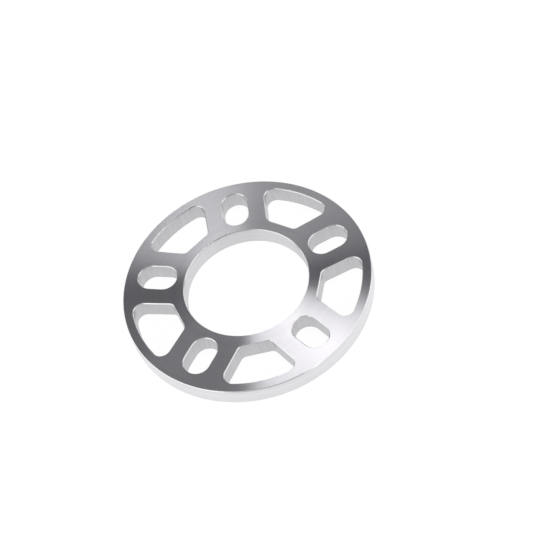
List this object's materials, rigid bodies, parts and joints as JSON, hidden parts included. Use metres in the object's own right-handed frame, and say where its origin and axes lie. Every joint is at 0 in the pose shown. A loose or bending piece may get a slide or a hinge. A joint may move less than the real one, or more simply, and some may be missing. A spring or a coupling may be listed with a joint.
{
  "type": "wheel spacer",
  "caption": "Flat turned aluminium ring that goes between a wheel and its hub, with a plain hub bore, round-ended radial stud slots and rounded lightening windows.",
  "frame": {"origin": "centre of the bore on the hub face, where the spacer lies flat", "axes": "+Z along the wheel axis from the hub face to the wheel face, +Y through the middle of one stud slot"},
  "size_m": [0.15, 0.15, 0.012],
  "materials": {
    "aluminium": "turned faces and rim, milled slots and windows, bare"
  },
  "bodies": {
    "root": {"spacer": "aluminium"}
  },
  "joints": []
}
